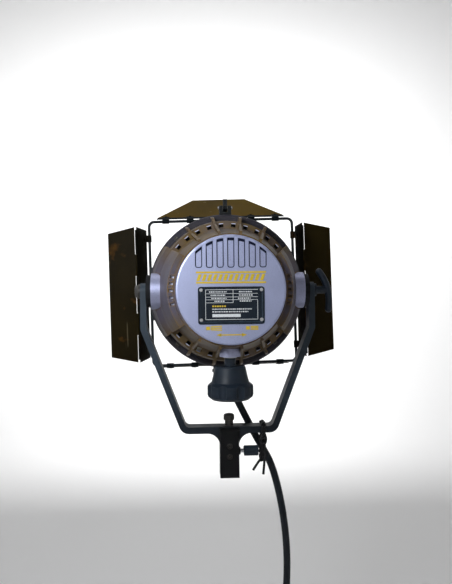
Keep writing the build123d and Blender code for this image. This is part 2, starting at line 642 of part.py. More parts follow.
def bend_radii(points):
    """Largest practical arc for each corner of a cable route."""
    corners = [Vector(*point) for point in points]
    radii = []
    for before, here, after in zip(corners, corners[1:], corners[2:]):
        turn = math.radians((here - before).get_angle(after - here))
        run = min((here - before).length, (after - here).length)
        radii.append(0.45 * run / math.tan(turn / 2))
    return radii


def cable_run(name, points):
    """Round cable along straight runs joined by tangent arcs."""
    radii = bend_radii(points)
    path = FilletPolyline(*points, radius=radii)
    run = sweep(Plane(path @ 0, z_dir=path % 0) * Circle(CABLE_R), path=path)
    print(name, "radii", [round(radius) for radius in radii], "length", round(path.length, 1),
          "volume ratio", round(run.volume / (math.pi * CABLE_R ** 2 * path.length), 4))
    return run


def cable_coil():
    """Outer shape of the put-away coil, with the short tail that the plug hangs on."""
    ring = Pos(*COIL_CENTRE) * Rot(90, 0, 0) * Torus(COIL_R, COIL_BUNDLE)
    x, y, z = COIL_CENTRE
    return ring + rod("Z", CABLE_R, z - COIL_R - TAIL, z, (x + COIL_R, y))


def power_plug():
    """Round three-pin plug with a ribbed boot, hanging under the coil."""
    x, y = COIL_CENTRE[0] + COIL_R, COIL_CENTRE[1]
    top = COIL_CENTRE[2] - COIL_R - TAIL
    plug = spun([(0, top), (7, top), (8.2, top - 20), (12, top - 22), (19, top - 30), (20, top - 34),
                 (20, top - 58), (18.5, top - 60), (0, top - 60)], (x, y))
    for angle in (90, 210, 330):
        at = (x + 10 * math.cos(math.radians(angle)), y + 10 * math.sin(math.radians(angle)))
        plug += rod("Z", 2.4, top - 76, top - 59, at)
    return plug


YOKE_PIECES = {
    "yoke": yoke(),
    "socket_bush": socket_bush(),
    "socket_set_screws": socket_set_screws(),
    "spigot_stop_screw": spigot_stop_screw(),
    "pivot_bolt": pivot_bolt(),
    "friction_disc_left": friction_disc(-1),
    "friction_disc_right": friction_disc(1),
    "cable_tie": cable_tie(),
    "tilt_handle": tilt_handle(),
    "clamp_pad": clamp_pad(),
    "clamp_screw": clamp_screw(),
    "clamp_knob": clamp_knob(),
}

HEAD_PIECES = {
    "rear_cap": rear_cap(),
    "rear_disc": rear_disc(),
    "data_plate": data_plate(),
    "data_plate_rivets": data_plate_rivets(),
    "housing_ring": housing_ring(),
    "housing_screws": housing_screws(),
    "tilt_boss_left": tilt_boss(-1),
    "tilt_boss_right": tilt_boss(1),
    "focus_boss": focus_boss(),
    "focus_washer": focus_washer(),
    "cable_gland": cable_gland(),
    "strain_relief": strain_relief(),
    "guide_rods": guide_rods(),
    "rear_rail_bracket": rear_rail_bracket(),
    "front_rail_bracket": front_rail_bracket(),
    "terminal_block": terminal_block(),
    "latch_block": latch_block(),
    "latch_pin": latch_pin(),
    "latch_lever": latch_lever(),
    "door_hinge_bracket": door_hinge_bracket(),
    "door_hinge_pin": door_hinge_pin(),
    "focus_knob": focus_knob(),
    "focus_pinion_shaft": focus_pinion_shaft(),
    "carriage": carriage(),
    "carriage_rack": carriage_rack(),
    "lamp_socket": lamp_socket(),
    "lamp_base": lamp_base(),
    "lamp_bulb": lamp_bulb(),
    "reflector": reflector(),
    "front_barrel": front_barrel(),
    "lens_holder": lens_holder(),
    "fresnel_lens": fresnel_lens(),
    "wire_guard": wire_guard(),
    "accessory_ears": accessory_ears(),
    "cord_upper": cable_run("cord_upper", UPPER_ROUTE),
    "cord_lower": cable_run("cord_lower", LOWER_ROUTE),
    "cord_coil": cable_coil(),
    "power_plug": power_plug(),
}

BARNDOOR_PIECES = {
    "barndoor_ring": barndoor_ring(),
    "barndoor_rods": barndoor_rods(),
    "barndoor_brackets": barndoor_brackets(),
    "top_leaf": on_frame(0, TOP_OPEN, long_leaf()),
    "bottom_leaf": on_frame(2, BOTTOM_OPEN, long_leaf()),
    "right_leaf": on_frame(1, SIDE_OPEN, side_leaf()),
    "left_leaf": on_frame(3, SIDE_OPEN, side_leaf()),
    "right_flap": flap_on_leaf(1),
    "left_flap": flap_on_leaf(3),
}

lift = Pos(0, 0, PIVOT_Z)
pieces = dict(YOKE_PIECES)
for name, shape in HEAD_PIECES.items():
    pieces[name] = lift * shape
for name, shape in BARNDOOR_PIECES.items():
    pieces[name] = lift * around(BARNDOOR_ROLL, shape)

os.makedirs("parts", exist_ok=True)
for name, shape in pieces.items():
    export_step(shape, f"parts/{name}.step")
print(len(pieces), "pieces")
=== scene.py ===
import json
import math
import random

import bpy
from mathutils import Matrix, Vector


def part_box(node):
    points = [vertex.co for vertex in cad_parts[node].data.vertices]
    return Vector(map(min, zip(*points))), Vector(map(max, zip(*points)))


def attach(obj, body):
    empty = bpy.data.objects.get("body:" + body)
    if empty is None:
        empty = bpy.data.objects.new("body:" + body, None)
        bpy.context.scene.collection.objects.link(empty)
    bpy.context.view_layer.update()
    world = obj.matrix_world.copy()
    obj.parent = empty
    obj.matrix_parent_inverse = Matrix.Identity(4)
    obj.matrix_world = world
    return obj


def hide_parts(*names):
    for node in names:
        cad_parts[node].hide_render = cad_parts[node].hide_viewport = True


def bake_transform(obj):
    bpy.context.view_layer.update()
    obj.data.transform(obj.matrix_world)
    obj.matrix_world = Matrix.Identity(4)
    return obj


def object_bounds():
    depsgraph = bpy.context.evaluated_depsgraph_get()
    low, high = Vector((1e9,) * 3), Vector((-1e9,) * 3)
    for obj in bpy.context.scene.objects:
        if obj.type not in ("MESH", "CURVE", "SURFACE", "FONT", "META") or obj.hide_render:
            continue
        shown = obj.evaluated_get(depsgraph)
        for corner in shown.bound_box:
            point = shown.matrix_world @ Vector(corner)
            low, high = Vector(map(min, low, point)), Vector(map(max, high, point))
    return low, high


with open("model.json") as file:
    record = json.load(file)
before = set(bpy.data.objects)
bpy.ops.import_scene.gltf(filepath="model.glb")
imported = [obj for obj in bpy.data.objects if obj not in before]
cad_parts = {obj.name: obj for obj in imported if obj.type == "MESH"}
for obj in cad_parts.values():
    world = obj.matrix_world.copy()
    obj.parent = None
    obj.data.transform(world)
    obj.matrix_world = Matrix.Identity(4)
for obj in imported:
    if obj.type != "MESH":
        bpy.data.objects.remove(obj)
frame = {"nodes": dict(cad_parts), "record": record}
NODES = frame["nodes"]
CAD_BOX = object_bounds()

# Places come from the frame. The rest are sizes of details, in metres, or in millimetres that MM scales.
MM = 0.001
DISC_LOW, DISC_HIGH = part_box("rear_disc")
DISC_FACE = DISC_LOW.y
PLATE_LOW, PLATE_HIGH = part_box("data_plate")
AXIS_Z = (DISC_LOW.z + DISC_HIGH.z) / 2
ROD_Y = 165 * MM


def linear(red, green, blue):
    """Linear colour from display values of 0 to 255."""
    return tuple((value / 255) ** 2.2 for value in (red, green, blue))


# ---------------------------------------------------------------- camera

SENSOR_WIDTH, LENS = 36, 35.38
CAMERA_PLACE = (-0.041, -0.85, 0.263)
CAMERA_TURN = (90.47, 0.6, -2.6)


def make_camera():
    data = bpy.data.cameras.new("camera")
    data.sensor_width = SENSOR_WIDTH
    data.lens = LENS
    camera = bpy.data.objects.new("camera", data)
    camera.location = CAMERA_PLACE
    camera.rotation_euler = [math.radians(turn) for turn in CAMERA_TURN]
    bpy.context.scene.collection.objects.link(camera)
    bpy.context.scene.camera = camera


# ---------------------------------------------------------------- mesh helpers

# Faces of a block whose corners are counted with the last coordinate fastest.
BLOCK_FACES = ((0, 1, 3, 2), (4, 6, 7, 5), (0, 4, 5, 1), (2, 3, 7, 6), (0, 2, 6, 4), (1, 5, 7, 3))


def add_mesh(name, points, faces, material, body, slot, smooth=False):
    mesh = bpy.data.meshes.new(name)
    mesh.from_pydata([tuple(point) for point in points], [], faces)
    mesh.validate()
    mesh.materials.append(material)
    for polygon in mesh.polygons:
        polygon.use_smooth = smooth
    piece = bpy.data.objects.new(name, mesh)
    bpy.context.scene.collection.objects.link(piece)
    if body:
        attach(piece, body)
    return piece


def prisms(outlines, front, depth):
    """Thin prisms on the rear face, from (x, height) outlines that run anticlockwise seen from behind."""
    points, faces = [], []
    for outline in outlines:
        first, count = len(points), len(outline)
        points += [(x, front - depth, AXIS_Z + z) for x, z in outline]
        points += [(x, front, AXIS_Z + z) for x, z in outline]
        faces.append(list(range(first, first + count)))
        faces.append(list(range(first + 2 * count - 1, first + count - 1, -1)))
        for index in range(count):
            after = (index + 1) % count
            faces.append([first + index, first + count + index, first + count + after, first + after])
    return points, faces


def outline(corners):
    """Outline in metres from one in millimetres about the beam axis."""
    return [(x * MM, z * MM) for x, z in corners]


def bar(left, right, low, high, slant=0.0):
    """Outline of a bar given in millimetres, leaning by slant."""
    return outline([(left, low), (right, low), (right + slant, high), (left + slant, high)])


def spline_path(points, resolution=8, cyclic=False):
    """Points read along the smooth NURBS that has these control points."""
    curve = bpy.data.curves.new("route", "CURVE")
    curve.dimensions = "3D"
    spline = curve.splines.new("NURBS")
    spline.points.add(len(points) - 1)
    for point, place in zip(spline.points, points):
        point.co = (*place, 1)
    spline.order_u = 3
    spline.use_endpoint_u = not cyclic
    spline.use_cyclic_u = cyclic
    spline.resolution_u = resolution
    holder = bpy.data.objects.new("route", curve)
    bpy.context.scene.collection.objects.link(holder)
    bpy.context.view_layer.update()
    mesh = bpy.data.meshes.new_from_object(holder)
    path = [vertex.co.copy() for vertex in mesh.vertices]
    bpy.data.objects.remove(holder)
    bpy.data.meshes.remove(mesh)
    bpy.data.curves.remove(curve)
    return path


def frames_along(path, closed=False):
    """Tangent and two sideways directions at each point of a path, carried along without twist."""
    count = len(path)
    tangents = []
    for index in range(count):
        before = path[(index - 1) % count] if closed else path[max(index - 1, 0)]
        after = path[(index + 1) % count] if closed else path[min(index + 1, count - 1)]
        tangents.append((after - before).normalized())
    side = tangents[0].orthogonal().normalized()
    result = []
    for tangent in tangents:
        side = (side - tangent * side.dot(tangent)).normalized()
        result.append((tangent, side, tangent.cross(side)))
    return result


def round_tube(path, radius, sides=16, closed=False):
    """Points and faces of a round tube along a path."""
    points, faces = [], []
    for place, (_, side, up) in zip(path, frames_along(path, closed)):
        for step in range(sides):
            angle = 2 * math.pi * step / sides
            points.append(place + side * radius * math.cos(angle) + up * radius * math.sin(angle))
    rings = len(path)
    for ring in range(rings if closed else rings - 1):
        here, there = ring * sides, (ring + 1) % rings * sides
        for step in range(sides):
            after = (step + 1) % sides
            faces.append([here + step, here + after, there + after, there + step])
    if not closed:
        faces.append(list(range(sides - 1, -1, -1)))
        faces.append([(rings - 1) * sides + step for step in range(sides)])
    return points, faces


def merged(parts):
    """Joins (points, faces) pairs into one pair."""
    points, faces = [], []
    for some, more in parts:
        first = len(points)
        points += some
        faces += [[first + corner for corner in face] for face in more]
    return points, faces


# ---------------------------------------------------------------- materials

# Bevel rays, and the cosine between the rounded and the true normal where an edge starts to count.
BEVEL_SAMPLES, EDGE_START = 4, 0.985


class Finish:
    """One procedural material, built up in layers in the order of the calls."""

    def __init__(self, name, color, roughness, metallic=0.0, **fixed):
        self.material = bpy.data.materials.new(name)
        self.material.use_nodes = True
        self.tree = self.material.node_tree
        self.shader = self.tree.nodes["Principled BSDF"]
        self.place = self.add("ShaderNodeTexCoord").outputs["Object"]
        self.normal = None
        self.set_input("Base Color", (*color, 1))
        self.set_input("Roughness", roughness)
        self.set_input("Metallic", metallic)
        for socket, value in fixed.items():
            self.set_input(socket.replace("_", " "), value)

    def add(self, kind, **settings):
        node = self.tree.nodes.new(kind)
        for key, value in settings.items():
            setattr(node, key, value)
        return node

    def set_input(self, socket, value):
        self.shader.inputs[socket].default_value = value

    def link(self, output, socket):
        self.tree.links.new(output, socket)

    def noise(self, scale, detail=3.0, stretch=(1, 1, 1)):
        stretched = self.add("ShaderNodeMapping")
        stretched.inputs["Scale"].default_value = stretch
        self.link(self.place, stretched.inputs["Vector"])
        node = self.add("ShaderNodeTexNoise")
        node.inputs["Scale"].default_value = scale
        node.inputs["Detail"].default_value = detail
        self.link(stretched.outputs[0], node.inputs["Vector"])
        return node.outputs[0]

    def cells(self, scale):
        node = self.add("ShaderNodeTexVoronoi")
        node.inputs["Scale"].default_value = scale
        self.link(self.place, node.inputs["Vector"])
        return node.outputs["Distance"]

    def along(self, axis):
        """Coordinate of the point along X, Y or Z, in metres from the piece's origin."""
        split = self.add("ShaderNodeSeparateXYZ")
        self.link(self.place, split.inputs[0])
        return split.outputs[axis]

    def ramp(self, value, low, high, start=0.0, end=1.0):
        node = self.add("ShaderNodeMapRange")
        for socket, number in zip(("From Min", "From Max", "To Min", "To Max"), (low, high, start, end)):
            node.inputs[socket].default_value = number
        self.link(value, node.inputs["Value"])
        return node.outputs[0]

    def compute(self, operation, *values):
        """Result of one sum on the outputs of nodes, or on plain numbers."""
        node = self.add("ShaderNodeMath", operation=operation)
        for socket, value in zip(node.inputs, values):
            if isinstance(value, float):
                socket.default_value = value
            else:
                self.link(value, socket)
        return node.outputs[0]

    def times(self, one, other):
        return self.compute("MULTIPLY", one, other)

    def edges(self, radius, full=0.80):
        """Mask of the convex and concave edges of the piece."""
        bevel = self.add("ShaderNodeBevel", samples=BEVEL_SAMPLES)
        bevel.inputs["Radius"].default_value = radius
        turned = self.add("ShaderNodeVectorMath", operation="DOT_PRODUCT")
        self.link(bevel.outputs[0], turned.inputs[0])
        self.link(self.add("ShaderNodeNewGeometry").outputs["Normal"], turned.inputs[1])
        return self.ramp(turned.outputs["Value"], EDGE_START, full)

    def tint(self, mask, color):
        """Mixes the colour so far with another one by a mask."""
        base = self.shader.inputs["Base Color"]
        node = self.add("ShaderNodeMix", data_type="RGBA")
        if base.is_linked:
            self.link(base.links[0].from_socket, node.inputs[6])
        else:
            node.inputs[6].default_value = base.default_value
        node.inputs[7].default_value = (*color, 1)
        self.link(mask, node.inputs[0])
        self.link(node.outputs[2], base)
        return self

    def gloss(self, mask, low, high):
        """Roughness that runs from low to high over a mask."""
        self.link(self.ramp(mask, 0, 1, low, high), self.shader.inputs["Roughness"])
        return self

    def bump(self, height, depth, strength=1.0):
        node = self.add("ShaderNodeBump")
        node.inputs["Distance"].default_value = depth
        node.inputs["Strength"].default_value = strength
        self.link(height, node.inputs["Height"])
        if self.normal:
            self.link(self.normal, node.inputs["Normal"])
        self.normal = node.outputs[0]
        self.link(self.normal, self.shader.inputs["Normal"])
        return self


def textured_paint(name, color, worn, edge, grain=1500, roughness=(0.42, 0.62), edge_radius=0.0012,
                   shine=0.25):
    """Fine-grained sprayed paint, lighter and warmer in patches where handling has rubbed it, with its edges
    tinted by another colour; on the cap and the ring that warm edge tint is painted warm reflected light.
    """
    made = Finish(name, color, 0.5, Specular_IOR_Level=shine)
    patches = made.noise(26)
    made.tint(made.ramp(patches, 0.42, 0.72, 0, 0.55), worn)
    made.tint(made.times(made.edges(edge_radius), made.ramp(made.noise(60), 0.3, 0.62)), edge)
    made.gloss(patches, *roughness)
    return made.bump(made.noise(grain), 0.00010, 0.55)


# Angle above or below the cheeks, in radians, over which the cap's painted warm reflected light sets in.
WARM_LIGHT_START, WARM_LIGHT_FULL = 0.36, 0.64


def cap_paint():
    """Purple-grey paint with painted warm reflected light towards the cheeks' edges and between the slots."""
    made = textured_paint("cap_paint", PURPLE_GREY, linear(84, 74, 62), PAINTED_WARM_EDGE, 1100, (0.45, 0.66), 0.0042)
    # Painted warm reflected light, growing with the angle away from the cheeks and broken into patches.
    sideways = made.compute("ABSOLUTE", made.along(0))
    upward = made.compute("ABSOLUTE", made.compute("SUBTRACT", made.along(2), AXIS_Z))
    turn = made.compute("ARCTAN2", upward, sideways)
    patches = made.ramp(made.noise(34), 0.30, 0.62, 0.35, 1)
    painted_warm_light = made.times(made.ramp(turn, WARM_LIGHT_START, WARM_LIGHT_FULL, 0, 0.85), patches)
    return made.tint(painted_warm_light, linear(96, 78, 42))


# The stem's black paint ends at its sides and just under the bar. Painted shade darkens the arms towards the
# bar.
STEM_SIDE, STEM_TOP = (0.0162, 0.0142), (0.076, 0.070)
ARM_PAINTED_SHADE = (0.16, 0.075)


def yoke_paint():
    """Slate paint on the arms, darkened towards the bar by painted shade, and black on the stem below the
    bar.
    """
    made = textured_paint("yoke_paint", linear(52, 61, 70), linear(62, 72, 82), linear(84, 92, 98))
    sideways = made.compute("ABSOLUTE", made.along(0))
    stem = made.times(made.ramp(sideways, *STEM_SIDE), made.ramp(made.along(2), *STEM_TOP))
    # Painted shade: the arms darken towards the bar.
    made.tint(made.ramp(made.along(2), *ARM_PAINTED_SHADE), linear(30, 36, 43))
    return made.tint(stem, linear(11, 12, 15))


def hammered_paint(name, color, dark, metallic):
    """Hammered metallic paint: soft millimetre dimples with darker pinpoints."""
    made = Finish(name, color, 0.42, metallic)
    pits = made.noise(1500, 1.0)
    made.tint(made.ramp(pits, 0.60, 0.72, 0, 0.8), dark)
    made.tint(made.ramp(made.noise(14), 0.45, 0.8, 0, 0.3), dark)
    made.gloss(made.noise(300), 0.40, 0.58)
    made.bump(made.cells(620), 0.00012, 0.55)
    return made.bump(made.noise(2200), 0.00004, 0.5)


def bare_metal(name, color, roughness=(0.2, 0.38), stretch=(1, 1, 1), metallic=1.0):
    made = Finish(name, color, roughness[0], metallic)
    grain = made.noise(420, 4.0, stretch)
    made.tint(made.ramp(grain, 0.4, 0.8, 0, 0.25), tuple(0.55 * part for part in color))
    made.gloss(grain, *roughness)
    return made.bump(grain, 0.00002, 0.4)


def moulded(name, color, roughness=(0.36, 0.55), grain=1700, edge=None, depth=0.00012):
    """Moulded plastic or rubber with a fine eroded grain."""
    made = Finish(name, color, 0.45, Specular_IOR_Level=0.28)
    made.tint(made.ramp(made.noise(40), 0.4, 0.75, 0, 0.5), tuple(1.9 * part for part in color))
    if edge:
        made.tint(made.edges(0.0010), edge)
    made.gloss(made.noise(180), *roughness)
    return made.bump(made.noise(grain, 2.0), depth, 0.5)


# Station along the beam where a long leaf's clips give way to its sheet.
CLIP_DEPTH = (ROD_Y + 5.4 * MM, ROD_Y + 3.9 * MM)


def leaf_paint(name, color, brown, rub, bright=0.5, dark_clips=False):
    """Thin paint on sheet with darker patches, scratches and rubbed patches, and dark clips if asked for; the
    brown and olive colours given for the top leaf and the flaps are painted warm reflected light on black
    paint.
    """
    made = Finish(name, color, 0.5, Specular_IOR_Level=0.06)
    made.tint(made.ramp(made.noise(7, 4.0), 0.40, 0.66), brown)
    made.tint(made.ramp(made.noise(17, 6.0), 0.60, 0.70, 0, rub), linear(124, 82, 26))
    fine = made.ramp(made.noise(130, 2.0, (1, 1, 0.06)), 0.715, 0.735, 0, bright)
    made.tint(fine, linear(122, 112, 88))
    made.tint(made.ramp(made.noise(900, 1.0), 0.70, 0.78, 0, bright), linear(104, 84, 38))
    if dark_clips:
        made.tint(made.ramp(made.along(1), *CLIP_DEPTH), linear(26, 31, 33))
    made.gloss(made.noise(22), 0.42, 0.6)
    return made.bump(made.noise(1300), 0.00005, 0.4)


def glass(name, color, roughness):
    made = Finish(name, color, roughness, Transmission_Weight=1.0, IOR=1.47)
    made.gloss(made.noise(300), roughness, roughness + 0.05)
    return made.bump(made.noise(500), 0.00002, 0.3)


def ceramic():
    made = Finish("ceramic_white", (0.78, 0.75, 0.68), 0.6)
    made.tint(made.ramp(made.noise(160), 0.5, 0.8, 0, 0.4), (0.55, 0.5, 0.42))
    return made.bump(made.noise(1400), 0.00005, 0.5)


# Warm edge colour of the cap: painted warm reflected light, not a colour of the paint.
PAINTED_WARM_EDGE = linear(128, 98, 36)
PURPLE_GREY = linear(84, 80, 92)
LAVENDER = (0.46, 0.50, 0.72)

FINISHES = {
    "yoke_paint": yoke_paint(),
    "cap_paint": cap_paint(),
    # The ring's warm edge colour is painted warm reflected light.
    "ring_paint": textured_paint("ring_paint", linear(52, 51, 60), linear(66, 60, 58), linear(92, 80, 56),
                                 1100),
    "hammered_silver": hammered_paint("hammered_silver", LAVENDER, (0.13, 0.14, 0.24), 0.8),
    "cast_silver": hammered_paint("cast_silver", (0.42, 0.44, 0.62), (0.12, 0.13, 0.20), 0.7),
    "plate_black": textured_paint("plate_black", linear(20, 29, 38), linear(28, 40, 52), linear(66, 82, 96)),
    "rivet_aluminium": bare_metal("rivet_aluminium", (0.86, 0.87, 0.9)),
    "bright_steel": bare_metal("bright_steel", (0.62, 0.62, 0.63)),
    "black_screw": textured_paint("black_screw", linear(34, 33, 32), linear(56, 52, 48),
                                  linear(128, 118, 104), 1500, (0.28, 0.44), 0.0008, 0.5),
    "zinc_steel": bare_metal("zinc_steel", (0.56, 0.57, 0.6)),
    "brass": bare_metal("brass", (0.72, 0.52, 0.2)),
    "fibre_black": moulded("fibre_black", linear(18, 19, 22), (0.6, 0.8)),
    "black_plastic": moulded("black_plastic", linear(30, 38, 47), (0.34, 0.52), 1500, linear(56, 68, 78)),
    "tie_black": moulded("tie_black", linear(26, 26, 28), (0.5, 0.7)),
    "cable_rubber": moulded("cable_rubber", linear(22, 27, 33), (0.38, 0.56), 1300),
    "plug_black": moulded("plug_black", linear(26, 27, 30), (0.38, 0.55)),
    "sheet_aluminium": bare_metal("sheet_aluminium", (0.66, 0.66, 0.68), (0.3, 0.5), (1, 0.1, 1)),
    "ceramic_white": ceramic(),
    "quartz": glass("quartz", (0.97, 0.97, 0.97), 0.02),
    "mirror_aluminium": bare_metal("mirror_aluminium", (0.9, 0.9, 0.9), (0.08, 0.16)),
    "latch_paint": textured_paint("latch_paint", linear(22, 26, 28), linear(36, 40, 42), linear(96, 98, 92)),
    "lens_glass": glass("lens_glass", (0.92, 0.95, 0.95), 0.06),
    "guard_steel": bare_metal("guard_steel", (0.6, 0.6, 0.62)),
    "barndoor_black": textured_paint("barndoor_black", linear(28, 35, 38), linear(40, 46, 47),
                                     linear(78, 72, 56), 1500, (0.34, 0.5)),
    # The leaves other than the side leaves and flaps, such as the top leaf, have black paint coloured brown
    # as painted warm reflected light.
    "leaf_black": leaf_paint("leaf_black_painted_warm_light", linear(96, 76, 20), linear(76, 60, 16), 0.35, 0.5, True),
}
# The flaps have the same black paint, coloured olive as painted warm reflected light.
FLAP_WARM_REFLECTION_FINISH = leaf_paint("leaf_black_painted_warm_reflection", linear(40, 33, 12), linear(30, 25, 10), 0.55, 0.35)
SIDE_FINISH = leaf_paint("leaf_black", linear(21, 20, 16), linear(17, 16, 12), 0.15, 0.3)
NODE_FINISHES = {"left_flap": FLAP_WARM_REFLECTION_FINISH, "right_flap": FLAP_WARM_REFLECTION_FINISH, "left_leaf": SIDE_FINISH,
                 "right_leaf": SIDE_FINISH}
GOLD = Finish("gold_print", linear(214, 184, 52), 0.42, 0.15)
GOLD.tint(GOLD.ramp(GOLD.noise(900), 0.5, 0.8, 0, 0.5), linear(138, 112, 26))
GOLD.bump(GOLD.noise(1600), 0.00004, 0.4)
WHITE = Finish("white_print", linear(226, 230, 232), 0.5)
WHITE.tint(WHITE.ramp(WHITE.noise(2600, 2.0), 0.50, 0.70, 0, 0.8), linear(100, 110, 116))
# Painted shadow, mixed with dirt in the grooves, for the flutes' grooves and for the pockets at their tops.
GROOVE = Finish("groove_shadow", linear(34, 38, 58), 0.7, Specular_IOR_Level=0.1)
GROOVE.tint(GROOVE.ramp(GROOVE.noise(700), 0.45, 0.7), linear(18, 20, 32))
# Pale paint on the slots' outer walls and the vents' floors is a painted highlight where the key light falls.
PAINTED_HIGHLIGHT_WALL = Finish("slot_wall", linear(214, 218, 242), 0.5)
PAINTED_HIGHLIGHT_WALL.tint(PAINTED_HIGHLIGHT_WALL.ramp(PAINTED_HIGHLIGHT_WALL.noise(500), 0.45, 0.7, 0, 0.5), linear(150, 152, 184))


def finish_cad_nodes():
    """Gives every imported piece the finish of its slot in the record."""
    for subpart in frame["record"]["subparts"]:
        node = NODES[subpart["node"]]
        made = NODE_FINISHES.get(subpart["node"], FINISHES[subpart["material_slot"]])
        if not node.material_slots:
            node.data.materials.append(made.material)
        for holder in node.material_slots:
            holder.material = made.material


# ---------------------------------------------------------------- power cable

# Routes are in millimetres with heights from the beam axis, and LIFT carries them to the frame's origin.
LIFT = 272
CABLE_R = 5.4 * MM
TAUT_ROUTE = [(7.5, 25, -142.8), (10.5, 25.5, -158.5), (18.6, 24.4, -175.6), (29.5, 23, -197.5),
              (40, 21.4, -218), (51.3, 20, -237.9)]
HANGING_ROUTE = [(62.8, 19, -258.4), (72.5, 20.5, -290), (80.5, 22.5, -328), (86, 25, -368),
                 (88.5, 28, -410)]
INTO_COIL = [(87.5, 28, -446), (84, 20.5, -478), (78.5, 16.9, -508)]
TAIL_ROUTE = [(93.5, 36.5, -566), (89, 34.5, -592), (86, 33, -612), (86, 33, -624)]
COIL_CENTRE = (28, 33, -539.5)
COIL_MIDDLE = 58
COIL_PITCH = 11
# Each leg of the coil: turns, radius at its start and end, column at its start and end.
COIL_LEGS = [(3, 47, 47, -1.5, 1.5), (0.5, 47, 58, 1.5, 1.5), (2, 58, 58, 1.5, -0.5),
             (0.5, 58, 69, -0.5, -0.5), (1, 69, 69, -0.5, 0.5)]
STEPS = 16


def in_metres(points):
    return [Vector((x, y, z + LIFT)) * MM for x, y, z in points]


def coil_turns():
    """Control points of the put-away turns, wound in three layers from the inside out."""
    points, turned = [], 0.0
    for turns, radius, next_radius, column, next_column in COIL_LEGS:
        count = round(turns * STEPS)
        for step in range(count):
            part = step / count
            angle = 2 * math.pi * (turned + turns * part)
            reach = (radius + (next_radius - radius) * part) / math.cos(math.pi / STEPS)
            across = COIL_PITCH * (column + (next_column - column) * part)
            points.append((COIL_CENTRE[0] + reach * math.cos(angle), COIL_CENTRE[1] + across,
                           COIL_CENTRE[2] - reach * math.sin(angle)))
        turned += turns
    return points


def make_cable():
    route = in_metres(TAUT_ROUTE + HANGING_ROUTE + INTO_COIL + coil_turns() + TAIL_ROUTE)
    path = spline_path(route)
    points, faces = round_tube(path, CABLE_R)
    cable = add_mesh("power_cable", points, faces, FINISHES["cable_rubber"].material, None, "cable_rubber",
                     True)
    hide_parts("cord_upper", "cord_lower", "cord_coil")
    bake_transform(cable)
    print("cable length", round(sum((b - a).length for a, b in zip(path, path[1:])), 4))


BAND_ANGLES = (100, 215, 330)
BAND_HALF_WIDTH, BAND_THICKNESS = 4, 1.2
BAND_REACH = (17.2, 22.6)
BAND_STEPS, BAND_ROUNDING = 28, 0.55


def rounded_square(turn):
    """Point of a rounded square of unit half-width at an angle."""
    plain = (math.cos(turn), math.sin(turn))
    return [abs(value) ** BAND_ROUNDING * math.copysign(1, value) for value in plain]


def make_coil_bands():
    """Three soft straps round the bundle of turns."""
    parts = []
    for angle in BAND_ANGLES:
        turn = math.radians(angle)
        outward = Vector((math.cos(turn), 0, -math.sin(turn)))
        along = Vector((-math.sin(turn), 0, -math.cos(turn)))
        centre = in_metres([COIL_CENTRE])[0] + outward * COIL_MIDDLE * MM
        points, faces = [], []
        for width in (-BAND_HALF_WIDTH, BAND_HALF_WIDTH):
            for skin in (0.0, BAND_THICKNESS):
                for step in range(BAND_STEPS):
                    reach = rounded_square(2 * math.pi * step / BAND_STEPS)
                    points.append(centre + outward * (BAND_REACH[0] + skin) * MM * reach[0]
                                  + Vector((0, 1, 0)) * (BAND_REACH[1] + skin) * MM * reach[1]
                                  + along * width * MM)
        rings = (0, BAND_STEPS, 3 * BAND_STEPS, 2 * BAND_STEPS)
        for step in range(BAND_STEPS):
            after = (step + 1) % BAND_STEPS
            for here, there in zip(rings, rings[1:] + rings[:1]):
                faces.append([here + step, here + after, there + after, there + step])
        parts.append((points, faces))
    add_mesh("coil_bands", *merged(parts), FINISHES["tie_black"].material, "yoke", "tie_black")


# (depth, height) corners of the loop, and the parts of each side at which the rounding of a corner begins.
TIE_LOOP = [(-15, -195.9), (15, -195.9), (29.8, -225), (29.8, -246), (20, -259), (10.3, -247), (10, -226),
            (-15, -211.6)]
TIE_ROUNDING = (0.12, 0.88)
TIE_KNOT = [(47, 4, -206), (52, 2, -213), (56, 3, -221), (53, 2, -230), (47, 4, -226), (46, 5, -217),
            (51, 6, -212), (55, 6, -220), (52, 6, -232)]
TIE_ENDS = ([(51, 7, -226), (50.5, 5, -238), (48, 2, -249), (41, 0, -257), (35, -1, -266)],
            [(53, 7, -228), (54.5, 3, -240), (52, -1, -252), (51, -2, -262), (50, -2, -272)])
STRAND_R, STRAND_TWISTS, STRAND_SIDES = 1.9 * MM, 8, 10
STRAND_ACROSS, STRAND_THROUGH = 2.1, 0.8


def make_tie():
    """Two twisted strands in a loop round the bar and the cable, knotted, with loose ends."""
    low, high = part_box("cable_tie")
    x = (low.x + high.x) / 2 / MM
    corners = []
    for (y0, z0), (y1, z1) in zip(TIE_LOOP, TIE_LOOP[1:] + TIE_LOOP[:1]):
        corners += [(x, y0 + (y1 - y0) * part, z0 + (z1 - z0) * part) for part in TIE_ROUNDING]
    path = spline_path(in_metres(corners), 6, cyclic=True)
    across = Vector((1, 0, 0))
    parts = []
    for strand in (0, math.pi):
        wound = []
        for index, (place, (tangent, _, _)) in enumerate(zip(path, frames_along(path, closed=True))):
            angle = strand + 2 * math.pi * STRAND_TWISTS * index / len(path)
            wound.append(place + across * math.cos(angle) * STRAND_ACROSS * MM
                         + tangent.cross(across) * math.sin(angle) * STRAND_THROUGH * MM)
        parts.append(round_tube(wound, STRAND_R, STRAND_SIDES, closed=True))
    for route in (TIE_KNOT, *TIE_ENDS):
        parts.append(round_tube(spline_path(in_metres(route)), STRAND_R, STRAND_SIDES))
    tie = add_mesh("tie_strands", *merged(parts), FINISHES["tie_black"].material, "yoke", "tie_black", True)
    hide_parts("cable_tie")


# ---------------------------------------------------------------- rear panel details

